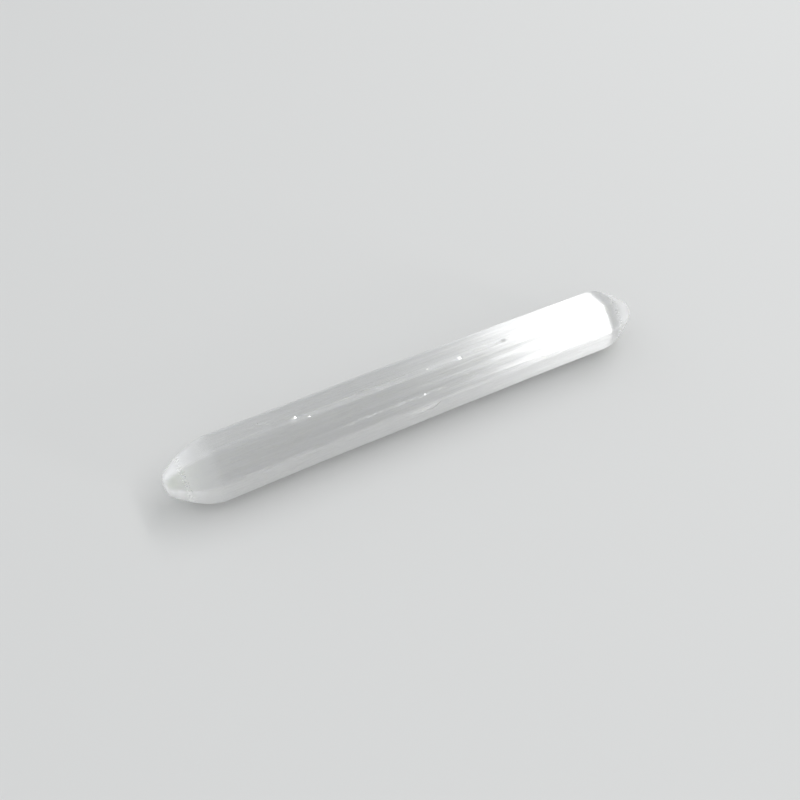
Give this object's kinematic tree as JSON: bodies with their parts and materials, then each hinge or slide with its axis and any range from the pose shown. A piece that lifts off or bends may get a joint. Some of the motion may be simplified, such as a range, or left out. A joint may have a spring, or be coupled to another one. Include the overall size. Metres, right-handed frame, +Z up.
{
  "type": "selenite wand",
  "caption": "Polished bar of fibrous selenite, ground to soft lengthwise flats with a blunt point at each end, lying on one flat.",
  "frame": {"origin": "on the resting plane, under the middle of the wand's length and depth", "axes": "+X along the wand towards the point that is farther in the picture, +Y to the back, +Z up off the flat it lies on"},
  "size_m": [0.162, 0.0206, 0.02],
  "materials": {
    "satin_spar": "polished, translucent white with fine lengthwise fibres and a silky sheen band, clear at both tips"
  },
  "bodies": {
    "root": {"wand": "satin_spar"}
  },
  "joints": []
}
